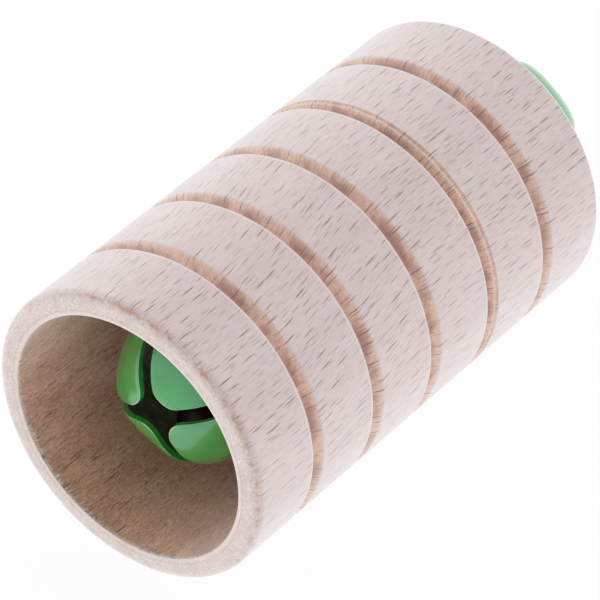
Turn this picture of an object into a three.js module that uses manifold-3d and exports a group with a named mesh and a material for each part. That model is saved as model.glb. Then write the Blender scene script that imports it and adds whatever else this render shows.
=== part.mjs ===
// Guiro shaker: a grooved beech body, bored from both ends, with a jingle bell in each bore.
// The bells are screwed to the ends of a beech rod that slides through the core of the body.
// Millimetres, +Z up. The body lies along Y with its front end towards -Y and rests on Z = 0.
// At rest the rod is pushed back: the front bell is sunk and the rear bell stands out.
import * as THREE from 'three';
import { mergeVertices } from 'three/addons/utils/BufferGeometryUtils.js';
import Module from 'manifold-3d';

// Body, turned and bored
const BODY_LENGTH = 100;
const BODY_DIAMETER = 57;
const BODY_SIDES = 32;
const BODY_WALL = 4.5;
const BORE_DEPTH = 35;
const BORE_MOUTH_CHAMFER = 0.6;
const FRONT_EDGE_ROUND = 1.8;
const REAR_EDGE_ROUND = 1;
const EDGE_STEPS = 3;
const FRONT_BAND = 15;
const REAR_BAND = 14.5;
const GROOVE_COUNT = 5;
const GROOVE_WIDTH = 3;
const GROOVE_DEPTH = 1.4;
const GROOVE_STEPS = 6;

// Rod that carries the bells
const ROD_DIAMETER = 8;
const ROD_TRAVEL = 28.5;
const ROD_END_CHAMFER = 0.6;
const ROD_RUNNING_CLEARANCE = 0.5;
const STOP_OVERLAP = 2;

// Bell, pressed from sheet and enamelled
const BELL_DIAMETER = 29.6;
const BELL_CROWN_HEIGHT = 13.2;
const BELL_CROWN_FULLNESS = 2.3;
const BELL_BOWL_HEIGHT = 14;
const BELL_SEAT_MARGIN = 1;
const BELL_SHEET = 1;
const BELL_SIDES = 32;
const BELL_STEPS = 7;
const SLIT_WIDTH = 3;
const SLIT_END_HEIGHT = 0.5;
const PETAL_TIP_ROUND = 4.2;
const PETAL_TIP_STEPS = 6;
const PETAL_FLATTENING = 0.045;
const FRONT_BELL_TURN = THREE.MathUtils.degToRad(21);
const REAR_BELL_TURN = THREE.MathUtils.degToRad(-8);
const PELLET_DIAMETER = 8.5;
const PELLET_SIDES = 16;

// Fasteners
const SCREW_DIAMETER = 3;
const SCREW_HEAD_DIAMETER = 6.4;
const SCREW_HEAD_HEIGHT = 2.2;
const SCREW_GRIP = 10;
const SCREW_POINT = 3;
const SCREW_RECESS_WIDTH = 0.9;
const SCREW_RECESS_LENGTH = 3.4;
const SCREW_RECESS_DEPTH = 1.1;
const STOP_WASHER_THICKNESS = 1;
const INNER_WASHER_DIAMETER = 8;
const INNER_WASHER_THICKNESS = 0.8;
const ROUND_SIDES = 24;

// Gap between pieces that touch
const SEAT_GAP = 0.3;

// Sizes that follow from the others
const BORE_DIAMETER = BODY_DIAMETER - 2 * BODY_WALL;
const CORE_LENGTH = BODY_LENGTH - 2 * BORE_DEPTH;
const ROD_LENGTH = CORE_LENGTH + ROD_TRAVEL;
const ROD_BORE_DIAMETER = ROD_DIAMETER + 2 * ROD_RUNNING_CLEARANCE;
const STOP_WASHER_DIAMETER = ROD_BORE_DIAMETER + 2 * STOP_OVERLAP;
const SCREW_HOLE_RADIUS = SCREW_DIAMETER / 2 + SEAT_GAP;
const SCREW_HOLE_DEPTH = SCREW_GRIP + SEAT_GAP;
const BELL_SEAT_DIAMETER = INNER_WASHER_DIAMETER + 2 * BELL_SEAT_MARGIN;
const BELL_SEAT_SHARE = BELL_SEAT_DIAMETER / BELL_DIAMETER;
const BELL_SEAT_DEPTH = BELL_BOWL_HEIGHT * Math.sqrt(1 - BELL_SEAT_SHARE ** 2);

// Places along the axis, measured outwards from the rod's end
const STOP_WASHER_SEAT = SEAT_GAP;
const BELL_SEAT = STOP_WASHER_SEAT + STOP_WASHER_THICKNESS + SEAT_GAP;
const INNER_WASHER_SEAT = BELL_SEAT + BELL_SHEET + SEAT_GAP;
const SCREW_HEAD_SEAT = INNER_WASHER_SEAT + INNER_WASHER_THICKNESS + SEAT_GAP;
const BELL_CENTRE = BELL_SEAT + BELL_SEAT_DEPTH;

const wasm = await Module();
wasm.setup();

const beech = { color: '#d8c7bf', roughness: 0.75, metalness: 0 };
const greenEnamel = { color: '#3f8f55', roughness: 0.22, metalness: 0 };
const zincedSteel = { color: '#b4b6b8', roughness: 0.35, metalness: 1 };
const darkIron = { color: '#4a4542', roughness: 0.55, metalness: 1 };

// Keeps positions only, joins shared vertices and drops triangles without area.
function closedMesh(geometry) {
  geometry.deleteAttribute('normal');
  geometry.deleteAttribute('uv');
  const merged = mergeVertices(geometry, 1e-3);
  const corners = merged.index.array;
  const kept = [];
  for (let i = 0; i < corners.length; i += 3) {
    const [a, b, c] = corners.slice(i, i + 3);
    if (a !== b && b !== c && c !== a) kept.push(a, b, c);
  }
  merged.setIndex(kept);
  return merged;
}

function solidOf(geometry) {
  const mesh = closedMesh(geometry);
  const vertProperties = new Float32Array(mesh.attributes.position.array);
  const triVerts = new Uint32Array(mesh.index.array);
  return new wasm.Manifold(new wasm.Mesh({ numProp: 3, vertProperties, triVerts }));
}

function geometryOf(solid) {
  const mesh = solid.getMesh();
  const geometry = new THREE.BufferGeometry();
  geometry.setAttribute('position', new THREE.BufferAttribute(mesh.vertProperties, 3));
  geometry.setIndex(new THREE.BufferAttribute(mesh.triVerts, 1));
  return geometry;
}

// Turns a profile of [radius, height] points about Y, with a flat side at the bottom.
function turned(profile, sides) {
  const points = profile.map(([radius, height]) => new THREE.Vector2(radius, height));
  return closedMesh(new THREE.LatheGeometry(points, sides, Math.PI / sides));
}

function piece(name, geometry, finish) {
  const shaded = geometry.index ? geometry.toNonIndexed() : geometry;
  shaded.computeVertexNormals();
  const mesh = new THREE.Mesh(shaded, new THREE.MeshStandardMaterial(finish));
  mesh.name = name;
  return mesh;
}

// Quarter round between an end face and the outside, as seen from the front end.
function frontEdge(radius, round, end) {
  const points = [];
  for (let step = 0; step <= EDGE_STEPS; step++) {
    const angle = (step / EDGE_STEPS) * Math.PI / 2;
    points.push([radius - round * (1 - Math.sin(angle)), end + round * (1 - Math.cos(angle))]);
  }
  return points;
}

// A groove of round section, from its front edge to its rear edge.
function groove(radius, centre) {
  const arc = (GROOVE_WIDTH ** 2 / 4 + GROOVE_DEPTH ** 2) / (2 * GROOVE_DEPTH);
  const reach = Math.acos((arc - GROOVE_DEPTH) / arc);
  const points = [];
  for (let step = 0; step <= GROOVE_STEPS; step++) {
    const angle = reach * (2 * step / GROOVE_STEPS - 1);
    points.push([radius + arc - GROOVE_DEPTH - arc * Math.cos(angle), centre + arc * Math.sin(angle)]);
  }
  return points;
}

function guiroBody() {
  const radius = BODY_DIAMETER / 2;
  const bore = BORE_DIAMETER / 2;
  const half = BODY_LENGTH / 2;
  const floor = CORE_LENGTH / 2;
  const mouth = bore + BORE_MOUTH_CHAMFER;
  const first = FRONT_BAND + GROOVE_WIDTH / 2 - half;
  const last = half - REAR_BAND - GROOVE_WIDTH / 2;
  const pitch = (last - first) / Math.max(GROOVE_COUNT - 1, 1);
  const outside = [...frontEdge(radius, FRONT_EDGE_ROUND, -half)];
  for (let band = 0; band < GROOVE_COUNT; band++) outside.push(...groove(radius, first + band * pitch));
  const rearEdge = frontEdge(radius, REAR_EDGE_ROUND, -half).map(([r, y]) => [r, -y]).reverse();
  outside.push(...rearEdge);
  const rearBore = [
    [mouth, half],
    [bore, half - BORE_MOUTH_CHAMFER],
    [bore, floor],
    [ROD_BORE_DIAMETER / 2, floor],
  ];
  const frontBore = rearBore.map(([r, y]) => [r, -y]).reverse();
  const profile = [...frontBore, ...outside, ...rearBore, frontBore[0]];
  // The flats of the many-sided body lie at the true radius.
  const flats = Math.cos(Math.PI / BODY_SIDES);
  return turned(profile.map(([r, y]) => [r / flats, y]), BODY_SIDES);
}

function bellRod() {
  const radius = ROD_DIAMETER / 2;
  const half = ROD_LENGTH / 2;
  const rearEnd = [
    [radius, half - ROD_END_CHAMFER],
    [radius - ROD_END_CHAMFER, half],
    [SCREW_HOLE_RADIUS, half],
    [SCREW_HOLE_RADIUS, half - SCREW_HOLE_DEPTH],
    [0, half - SCREW_HOLE_DEPTH],
  ];
  const frontEnd = rearEnd.map(([r, y]) => [r, -y]).reverse();
  return turned([...frontEnd, ...rearEnd], ROUND_SIDES);
}

// Wall of the bell at a given inset: a round bowl from its flat seat, then a fuller crown up to
// a hole as wide as the slits.
function bellWall(inset) {
  const radius = BELL_DIAMETER / 2 - inset;
  const bowl = BELL_BOWL_HEIGHT - inset;
  const crown = BELL_CROWN_HEIGHT - inset;
  const seat = Math.asin((BELL_SEAT_DEPTH - inset) / bowl);
  const power = 2 / BELL_CROWN_FULLNESS;
  const open = Math.acos((SLIT_WIDTH / 2 / radius) ** (1 / power));
  const points = [[SCREW_HOLE_RADIUS, inset - BELL_SEAT_DEPTH]];
  for (let step = 0; step <= BELL_STEPS; step++) {
    const angle = seat * (1 - step / BELL_STEPS);
    points.push([radius * Math.cos(angle), -bowl * Math.sin(angle)]);
  }
  for (let step = 1; step <= BELL_STEPS; step++) {
    const angle = open * step / BELL_STEPS;
    points.push([radius * Math.cos(angle) ** power, crown * Math.sin(angle) ** power]);
  }
  return points;
}

// Presses the four petals of the crown flatter along their middles, halfway between the slits.
function flattenPetals(geometry) {
  const place = geometry.attributes.position;
  const point = new THREE.Vector3();
  for (let i = 0; i < place.count; i++) {
    point.fromBufferAttribute(place, i);
    if (point.y <= 0) continue;
    const radius = Math.hypot(point.x, point.z);
    const across = (2 * point.x * point.z / radius ** 2) ** 2;
    const along = 2 * radius * point.y / point.lengthSq();
    point.multiplyScalar(1 - PETAL_FLATTENING * across * along);
    place.setXYZ(i, point.x, point.y, point.z);
  }
  return geometry;
}

// Outline of the two crossing slits, widening where the petal tips are rounded.
function crossSlit(reach) {
  const origin = new THREE.Vector2();
  const half = SLIT_WIDTH / 2;
  const shape = new THREE.Shape();
  for (let quarter = 0; quarter < 4; quarter++) {
    const turn = quarter * Math.PI / 2;
    const near = new THREE.Vector2(reach, -half).rotateAround(origin, turn);
    const far = new THREE.Vector2(reach, half).rotateAround(origin, turn);
    const corner = half + PETAL_TIP_ROUND;
    const tip = new THREE.Vector2(corner, corner).rotateAround(origin, turn);
    if (quarter === 0) shape.moveTo(near.x, near.y);
    else shape.lineTo(near.x, near.y);
    shape.lineTo(far.x, far.y);
    shape.absarc(tip.x, tip.y, PETAL_TIP_ROUND, turn - Math.PI / 2, turn - Math.PI, true);
  }
  return shape;
}

function bellShell() {
  const outer = bellWall(0);
  const inner = bellWall(BELL_SHEET).reverse();
  const shell = solidOf(flattenPetals(turned([...outer, ...inner, outer[0]], BELL_SIDES)));
  const reach = BELL_DIAMETER;
  const slits = new THREE.ExtrudeGeometry(crossSlit(reach), {
    depth: BELL_CROWN_HEIGHT,
    bevelEnabled: false,
    curveSegments: PETAL_TIP_STEPS,
  });
  slits.rotateX(-Math.PI / 2).translate(0, SLIT_END_HEIGHT, 0);
  let cut = shell.subtract(solidOf(slits));
  for (const turn of [0, Math.PI / 2]) {
    const slitEnd = new THREE.CylinderGeometry(SLIT_WIDTH / 2, SLIT_WIDTH / 2, 2 * reach, ROUND_SIDES / 2);
    slitEnd.rotateZ(Math.PI / 2).translate(0, SLIT_END_HEIGHT, 0).rotateY(turn);
    cut = cut.subtract(solidOf(slitEnd));
  }
  return geometryOf(cut);
}

// Round-headed wood screw, its head's underside at 0 and its point towards -Y.
function bellScrew() {
  const shank = SCREW_DIAMETER / 2;
  const tip = -(SCREW_HEAD_SEAT + SCREW_GRIP);
  const head = SCREW_HEAD_DIAMETER / 2;
  const profile = [[0, tip], [shank, tip + SCREW_POINT], [shank, 0]];
  for (let step = 0; step <= BELL_STEPS; step++) {
    const angle = (step / BELL_STEPS) * Math.PI / 2;
    profile.push([head * Math.cos(angle), SCREW_HEAD_HEIGHT * Math.sin(angle)]);
  }
  let screw = solidOf(turned(profile, ROUND_SIDES));
  for (const turn of [0, Math.PI / 2]) {
    const recess = new THREE.BoxGeometry(SCREW_RECESS_LENGTH, 2 * SCREW_RECESS_DEPTH, SCREW_RECESS_WIDTH);
    recess.translate(0, SCREW_HEAD_HEIGHT, 0).rotateY(turn);
    screw = screw.subtract(solidOf(recess));
  }
  return geometryOf(screw);
}

function washer(diameter, thickness) {
  const hole = SCREW_HOLE_RADIUS;
  const rim = diameter / 2;
  return turned([[hole, 0], [rim, 0], [rim, thickness], [hole, thickness], [hole, 0]], ROUND_SIDES);
}

function pellet() {
  return closedMesh(new THREE.SphereGeometry(PELLET_DIAMETER / 2, PELLET_SIDES, PELLET_SIDES / 2));
}

// Everything screwed to one end of the rod, with +Y pointing out of the rod.
function bellEnd(side, bellTurn) {
  const end = new THREE.Group();
  const stopWasher = washer(STOP_WASHER_DIAMETER, STOP_WASHER_THICKNESS);
  const stop = piece(`${side}_stop_washer`, stopWasher, zincedSteel);
  stop.position.y = STOP_WASHER_SEAT;
  const bell = piece(`${side}_bell`, bellShell(), greenEnamel);
  bell.position.y = BELL_CENTRE;
  bell.rotation.y = bellTurn;
  const innerWasher = washer(INNER_WASHER_DIAMETER, INNER_WASHER_THICKNESS);
  const inner = piece(`${side}_inner_washer`, innerWasher, zincedSteel);
  inner.position.y = INNER_WASHER_SEAT;
  const screw = piece(`${side}_bell_screw`, bellScrew(), zincedSteel);
  screw.position.y = SCREW_HEAD_SEAT;
  const ball = piece(`${side}_pellet`, pellet(), darkIron);
  const wall = (BELL_DIAMETER / 2 - BELL_SHEET) * Math.cos(Math.PI / BELL_SIDES);
  ball.position.set(0, BELL_CENTRE, -(wall - SEAT_GAP - PELLET_DIAMETER / 2));
  end.add(stop, bell, inner, screw, ball);
  return end;
}

const frontEnd = bellEnd('front', FRONT_BELL_TURN);
frontEnd.position.y = -ROD_LENGTH / 2;
frontEnd.rotation.z = Math.PI;
const rearEnd = bellEnd('rear', REAR_BELL_TURN);
rearEnd.position.y = ROD_LENGTH / 2;

// At rest the rod's front end is level with the front face of the core.
const rod = new THREE.Group();
rod.position.y = ROD_TRAVEL / 2;
rod.add(piece('bell_rod', bellRod(), beech), frontEnd, rearEnd);

const shaker = new THREE.Group();
shaker.add(piece('guiro_body', guiroBody(), beech), rod);

// The origin is under the middle of the whole shaker, on the surface that it lies on.
const box = new THREE.Box3().setFromObject(shaker);
const middle = box.getCenter(new THREE.Vector3());
shaker.position.set(-middle.x, -middle.y, -box.min.z);

export default shaker;
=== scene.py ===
# Guiro shaker: a grooved beech body with a green jingle bell in each bored end, on a sliding rod.
# Models and finishes the pieces over the packed frame. Metres, +Z up, the shaker lies along Y.
import math
import random
from functools import partial

import bmesh
import bpy
from bpy.props import FloatProperty, FloatVectorProperty, IntProperty, PointerProperty
from mathutils import Color, Matrix, Vector


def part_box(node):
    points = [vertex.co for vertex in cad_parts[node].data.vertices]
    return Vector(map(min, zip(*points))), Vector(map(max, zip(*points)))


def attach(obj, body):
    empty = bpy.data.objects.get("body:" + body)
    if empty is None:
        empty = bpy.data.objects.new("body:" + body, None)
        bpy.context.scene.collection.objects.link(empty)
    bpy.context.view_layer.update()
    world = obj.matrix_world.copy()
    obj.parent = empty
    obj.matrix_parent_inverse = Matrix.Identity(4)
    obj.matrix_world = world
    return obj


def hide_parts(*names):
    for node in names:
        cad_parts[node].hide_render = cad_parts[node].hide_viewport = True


bl_info = {
    "name": "Guiro shaker",
    "version": (1, 0, 0),
    "blender": (4, 5, 0),
    "location": "3D View > Sidebar > Guiro",
    "description": "Models and finishes the pieces of a beech guiro shaker with jingle bells",
    "category": "Object",
}

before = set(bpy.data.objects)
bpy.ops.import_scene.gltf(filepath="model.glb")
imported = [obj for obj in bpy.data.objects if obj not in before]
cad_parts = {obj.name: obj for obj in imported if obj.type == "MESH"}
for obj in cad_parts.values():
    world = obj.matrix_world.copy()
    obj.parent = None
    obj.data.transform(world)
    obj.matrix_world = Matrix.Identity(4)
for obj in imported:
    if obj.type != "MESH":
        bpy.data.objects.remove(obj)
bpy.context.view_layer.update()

MM = 0.001
BODY_LOW, BODY_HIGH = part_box("guiro_body")
BODY_LENGTH = BODY_HIGH.y - BODY_LOW.y
BODY_RADIUS = (BODY_HIGH.z - BODY_LOW.z) / 2
AXIS_HEIGHT = (BODY_LOW.z + BODY_HIGH.z) / 2

# Points closer together than this become one.
MERGE = 0.001 * MM
# A ring of points this far outside a rounding or groove keeps the plain surface beside it flat
# when shaded.
KEEP_FLAT = 0.2 * MM
# Where the broken edge of a bore's mouth bends, as a share of its width.
MOUTH_BEND = 0.3

# Steps round the round pieces.
BODY_STEPS = 256
FITTING_STEPS = 64
SCREW_STEPS = 48
THREAD_STEPS = 24
PELLET_STEPS = 48

# A groove's section: the turn of its lip in degrees, then places as shares of its half width from
# its centre and depths as shares of its depth.
LIP_TURN = 80
FRONT_WALL = ((-0.8, 0.75), (-0.58, 0.94))
DEEPEST = -0.35
SLOPE_END = 1.15
SLIPPED_SLOPE_END = 0.55
SLOPE_STEPS = 12
SLIP_STEPS = 8

# Torn fibres of one end: clumps about a turn from the top, in degrees, and hairs in the clumps.
FIBRE_SEED = 7
CLUMPS = 24
CLUMP_TURN, CLUMP_SPREAD = -130, 32
HAIRS = 240
HAIR_SPREAD = 1.5
# A hair's depth at its root, its length, its thickness and its point, in millimetres.
HAIR_DEPTH = (0.1, 0.5)
HAIR_LENGTH = (0.4, 1.5)
HAIR_THICKNESS = (0.05, 0.1)
HAIR_POINT = 0.01
# How a hair lies: aside, across the bore and into it. Its middle stands a share of its length off
# its root, so its thick end stays a little inside the wood.
HAIR_ASIDE = 0.35
HAIR_ACROSS = (0.15, 0.9)
HAIR_INTO = (0.1, 1)
HAIR_MIDDLE = 0.4

# Rows and columns of a bell's sheet.
BOWL_STEPS = 14
SLIT_STEPS = 8
CROWN_STEPS = 24
PETAL_COLUMNS = 26
# How much closer the columns stand towards the slits, from 0 to 1.
EDGE_CROWDING = 0.55
# Where the rows begin to bend round the petals' tips, as a share of the crown.
TIP_START = 0.45

# Half height of a pellet's flats, and of its seam, as shares of its radius.
PELLET_FLAT = 0.95
PELLET_SEAM = 0.01

# Ray flecks, from large to fine: the patch of wood that holds one, and half a fleck's size, round
# the body and along it in millimetres, then how strong the faintest and the darkest are.
FLECKS = (
    ((2, 4.6, 1), (0.14, 1.6, 1), 0.3, 1.1),
    ((1.2, 3.6, 1), (0.095, 1.3, 1), -0.3, 0.85),
    ((0.7, 2.9, 1), (0.07, 1.2, 1), -0.4, 0.5),
)


def linear(hex_colour):
    """Linear RGB of an sRGB hex colour."""
    values = [int(hex_colour[i:i + 2], 16) / 255 for i in (1, 3, 5)]
    return tuple(v / 12.92 if v <= 0.04045 else ((v + 0.055) / 1.055) ** 2.4 for v in values)


def number(name, description, value):
    """A plain number property."""
    return FloatProperty(name=name, description=description, default=value)


def count(name, description, value):
    """A whole number property."""
    return IntProperty(name=name, description=description, default=value)


def length(name, description, value):
    """A length property with its default given in millimetres."""
    return FloatProperty(name=name, description=description, default=value * MM, unit="LENGTH")


def angle(name, description, value):
    """An angle property with its default given in degrees."""
    value = math.radians(value)
    return FloatProperty(name=name, description=description, default=value, subtype="ANGLE")


def colour(name, description, value):
    """A colour property with its default given as an sRGB hex value."""
    return FloatVectorProperty(
        name=name, description=description, default=linear(value), subtype="COLOR", min=0, max=1
    )


class GuiroBodySizes(bpy.types.PropertyGroup):
    """Sizes of the turned body and its grooves."""

    wall: length("Wall", "Thickness of the wood round each bore", 4.5)
    bore_depth: length("Bore depth", "Depth of the bore in each end", 35)
    bore_fillet: length("Bore fillet", "Rounding at the floor of each bore", 0.8)
    mouth: length("Mouth", "Width of the broken edge at each bore's mouth", 0.35)
    rod_bore: length("Rod bore", "Radius of the hole through the core", 4.5)
    front_round: length("Front edge", "Rounding of the outer edge at the front end", 1.8)
    rear_round: length("Rear edge", "Rounding of the outer edge at the rear end", 1)
    line_radius: length("Turned line", "Radius of the fine line turned in each end face", 25.05)
    line_width: length("Line width", "Width of that line", 0.1)
    front_band: length("Front band", "Smooth wood before the first groove", 15)
    rear_band: length("Rear band", "Smooth wood behind the last groove", 14.5)
    groove_count: count("Grooves", "Scraping grooves round the body", 5)
    groove_width: length("Groove width", "Width of a groove at the surface", 3)
    groove_depth: length("Groove depth", "Depth of a groove", 1.4)
    groove_edge: length("Groove edge", "Rounding of a groove's front lip", 0.12)
    slipped_groove: count("Slipped groove", "Groove cut twice, from the front", 4)
    slip_ridge: length("Slip ridge", "Depth of the ridge between the two cuts", 0.12)
    slip_depth: length("Slip depth", "Depth of the second cut", 0.35)


class GuiroBellSizes(bpy.types.PropertyGroup):
    """Sizes of a pressed jingle bell."""

    diameter: length("Diameter", "Width of the bell", 29.6)
    crown: length("Crown", "Height of the slit half above the widest ring", 13.2)
    fullness: number("Fullness", "Squareness of the crown's curve", 2.3)
    bowl: length("Bowl", "Height of the closed half if it ran to its pole", 14)
    seat: length("Seat", "Radius of the flat seat", 5)
    seat_ring: length("Seat ring", "Radius of the ring of points within the seat", 3.5)
    hole: length("Hole", "Radius of the screw hole", 1.8)
    sheet: length("Sheet", "Thickness of the sheet", 1)
    slit: length("Slit", "Width of the crossing slits", 3)
    slit_end: length("Slit end", "Height of the slits' round ends above the widest ring", 1.5)
    tip: length("Petal tip", "Radius of a petal's tip", 4.2)
    flattening: number("Flattening", "How flat the petals' middles are", 0.045)
    roll: length("Edge roll", "How far the petals' edges turn in", 0.12)
    roll_width: length("Roll width", "Width of the band that turns in", 1)
    roll_rise: length("Roll rise", "Height over which the edges begin to turn in", 4.5)
    edge: length("Cut edge", "Width of the thin enamel on the cut edges", 0.22)
    front_turn: angle("Front turn", "Turn of the front bell", 21)
    rear_turn: angle("Rear turn", "Turn of the rear bell", -8)


class GuiroFittingSizes(bpy.types.PropertyGroup):
    """Sizes of the rod, screws, washers and pellets."""

    rod_hole: length("Pilot hole", "Radius of the hole in the rod's end grain", 1.8)
    rod_hole_depth: length("Pilot depth", "Depth of that hole", 10.3)
    rod_hole_edge: length("Pilot edge", "Width of that hole's broken edge", 0.2)
    rod_edge: length("Rod edge", "Rounding of the rod's ends", 0.6)
    shank: length("Shank", "Radius of a screw's shank", 1.25)
    point: length("Point", "Length of a screw's tapered point", 3)
    neck: length("Neck", "Slope between a screw's shank and head", 0.2)
    head: length("Head", "Height of a screw's head", 2.2)
    head_edge: length("Head edge", "Height of the edge under the round of the head", 0.15)
    recess: length("Recess", "Length of the cross recess", 3.4)
    recess_width: length("Recess width", "Width of the cross recess", 0.9)
    recess_depth: length("Recess depth", "Depth of the cross recess", 1.1)
    thread: length("Thread", "Radius of a screw's thread", 1.7)
    pitch: length("Pitch", "Rise of the thread in one turn", 1.35)
    flank: length("Flank", "Half width of the thread's ridge", 0.25)
    root: length("Root", "How far the ridge reaches into the shank", 0.05)
    thread_start: length("Thread start", "From a screw's tip to its thread", 2.4)
    plain_shank: length("Plain shank", "Shank under the head without a thread", 5)
    washer_hole: length("Washer hole", "Radius of the hole in a washer", 1.8)
    washer_edge: length("Washer edge", "Rounding of a washer's edges", 0.15)
    flash: length("Flash", "Height of the seam round a pellet", 0.06)


class GuiroColours(bpy.types.PropertyGroup):
    """Colours of the finishes."""

    beech: colour("Beech", "Pale sanded beech", "#dac4c2")
    beech_pink: colour("Beech, pinker", "Pinker bands in the beech", "#d5bbb9")
    end_grain: colour("End grain", "Wood of the end faces", "#f0e0da")
    end_pore: colour("End pores", "Darker mottling of the end faces", "#c6a39a")
    fleck: colour("Ray fleck", "Short brown flecks along the grain", "#803d30")
    groove: colour("Groove", "Wood scorched by the grooving tool", "#edc3ab")
    # Partly scorch, partly painted shade at the grooves' bottoms.
    groove_deep_scorch_and_shade: colour("Groove, dark", "Deepest wood in the grooves", "#a9684e")
    # Painted highlight on the grooves' front lips; the same colour is also the torn mouths' real
    # pale wood.
    lip: colour("Groove lip", "Burnished wood before each groove", "#f4dfd5")
    # Also paints the shade in the end faces' turned lines.
    rim: colour("Rim", "Scorched patches on the rounded front edge", "#bd826a")
    bore: colour("Bore", "Unsanded wood in the bores", "#fad0b4")
    bore_dark: colour("Bore, dark", "Darker grain in the bores", "#bc7f63")
    bore_pore: colour("Bore, pores", "Open pores in the bores", "#75432f")
    fibre: colour("Fibre", "Torn fibres at the bores' mouths", "#ecdcd0")
    enamel: colour("Enamel", "Green enamel of the bells", "#36a842")
    gloss: colour("Enamel gloss", "Cool tint of the enamel's gloss", "#c8ecff")
    # Partly thin enamel, partly a painted highlight on the bells' outer corners.
    enamel_thin_and_highlight: colour("Enamel, thin", "Enamel drawn thin over the cut edges", "#e6f2cc")
    primer: colour("Primer", "Grey-green primer inside the bells", "#8f9a82")
    zinc: colour("Zinc", "Zinc plating of the screws and washers", "#b9bbbd")
    iron: colour("Iron", "Dull iron of the pellets", "#38332f")
    floor: colour("Floor", "Paper under the shaker", "#ffffff")


class GuiroStageSettings(bpy.types.PropertyGroup):
    """Camera and light."""

    azimuth: angle("Azimuth", "Camera's turn about Z", 37.404)
    elevation: angle("Elevation", "Camera's angle above the floor", 38.631)
    lens: number("Lens", "Focal length in millimetres", 261.55)
    distance: length("Distance", "From the camera to the body's middle", 769.6)
    aim_right: length("Aim right", "Aim point to the right of the body's middle", -0.885)
    aim_up: length("Aim up", "Aim point above the body's middle", -1.28)
    tent: number("Tent", "Level of the white light tent", 1.33)
    opening: number("Opening", "Level of the tent's opening at the camera", 0.2)
    opening_inner: angle("Opening, inner", "Half angle of the dim opening", 25)
    opening_outer: angle("Opening, outer", "Half angle at which the tent is fully bright", 70)
    table: number("Light table", "Level of the floor's own light", 1.25)
    table_share: number("Table share", "Share of the floor's own light in its look", 0.94)
    floor_size: length("Floor size", "Side of the floor", 4000)


def add_node(tree, kind, inputs=(), output=0, **options):
    """Adds a shader node and returns one of its outputs.

    The kind can carry the node's operation after a dot. Inputs are links, values or colours of the
    settings, listed in the order of the sockets or keyed by socket.
    """
    kind, _, operation = kind.partition(".")
    made = tree.nodes.new("ShaderNode" + kind)
    if operation:
        made.operation = operation
    for option, value in options.items():
        setattr(made, option, value)
    for key, value in inputs.items() if isinstance(inputs, dict) else enumerate(inputs):
        if isinstance(value, bpy.types.NodeSocket):
            tree.links.new(value, made.inputs[key])
        else:
            made.inputs[key].default_value = (*value, 1) if isinstance(value, Color) else value
    return made.outputs[output] if made.outputs else None


def new_material(name):
    """An empty material, what adds its nodes, and millimetres from the front face's centre."""
    material = bpy.data.materials.new(name)
    material.use_nodes = True
    material.node_tree.nodes.clear()
    add = partial(add_node, material.node_tree)
    seat = add("TexCoord", output="Object")
    origin = (0, -BODY_LOW.y / MM, -AXIS_HEIGHT / MM)
    scale = (1 / MM,) * 3
    place = add("Mapping", {"Vector": seat, "Location": origin, "Scale": scale})
    return material, add, place


def finish(material, surface):
    """Ends a material with a shader that has the given inputs."""
    shader = add_node(material.node_tree, "BsdfPrincipled", surface)
    add_node(material.node_tree, "OutputMaterial", [shader])
    return material


def two_tone(add, first, second, pattern, *limits):
    """Two colours, the second where a pattern is high. Limits: the pattern's, then the share's."""
    share = add("MapRange", [pattern, *limits])
    return add("Mix", {0: share, 6: first, 7: second}, output=2, data_type="RGBA")


def toned(add, base, pattern, *limits):
    """A colour made darker and paler by a pattern. Limits: the pattern's, then the tone's."""
    tone = add("MapRange", [pattern, *limits])
    return add("VectorMath.SCALE", {0: base, "Scale": tone})


def shifted(add, distance, pattern, *limits):
    """A distance made uneven by a pattern. Limits: the pattern's, then the change's."""
    change = add("MapRange", [pattern, *limits])
    return add("Math.ADD", [distance, change])


def along_axis(add, place):
    """Distances from the front face and from the nearer end face."""
    along = add("SeparateXYZ", [place], output="Y")
    from_rear = add("Math.SUBTRACT", [BODY_LENGTH / MM, along])
    return along, add("Math.MINIMUM", [along, from_rear])


def from_axis(add, place):
    """Distance from the shaker's axis."""
    across = add("VectorMath.MULTIPLY", [place, (1, 0, 1)])
    return add("VectorMath.LENGTH", [across], output="Value")


def wood_patterns(add, rows):
    """Uneven patterns in wood, one for each row.

    A row holds the places, the pattern's size in millimetres, its detail and its roughness.
    """
    patterns = []
    for place, size, detail, roughness in rows:
        sized = add("VectorMath.DIVIDE", [place, size])
        noise = {"Vector": sized, "Scale": 1, "Detail": detail, "Roughness": roughness}
        patterns.append(add("TexNoise", noise))
    return patterns


def clouded(add, place, values, size, detail, darkest, palest):
    """A colour made darker and paler in clouds of a size in millimetres, and the clouds."""
    cloud = add("TexNoise", {"Vector": place, "Scale": 1 / size, "Detail": detail})
    return toned(add, tuple(values), cloud, 0.3, 0.7, darkest, palest), cloud


def seen_directly(add):
    """1 where the camera sees a thing, also by gloss or through glass, 0 where it only lights."""
    path = add("LightPath").node.outputs
    seen = path["Is Camera Ray"]
    for ray in ("Is Glossy Ray", "Is Transmission Ray"):
        seen = add("Math.MAXIMUM", [seen, path[ray]])
    return seen


def groove_row(sizes):
    """Distance of the first groove's centre from the front face, and from groove to groove."""
    first = sizes.front_band + sizes.groove_width / 2
    last = BODY_LENGTH - sizes.rear_band - sizes.groove_width / 2
    return first, (last - first) / (sizes.groove_count - 1)


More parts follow.
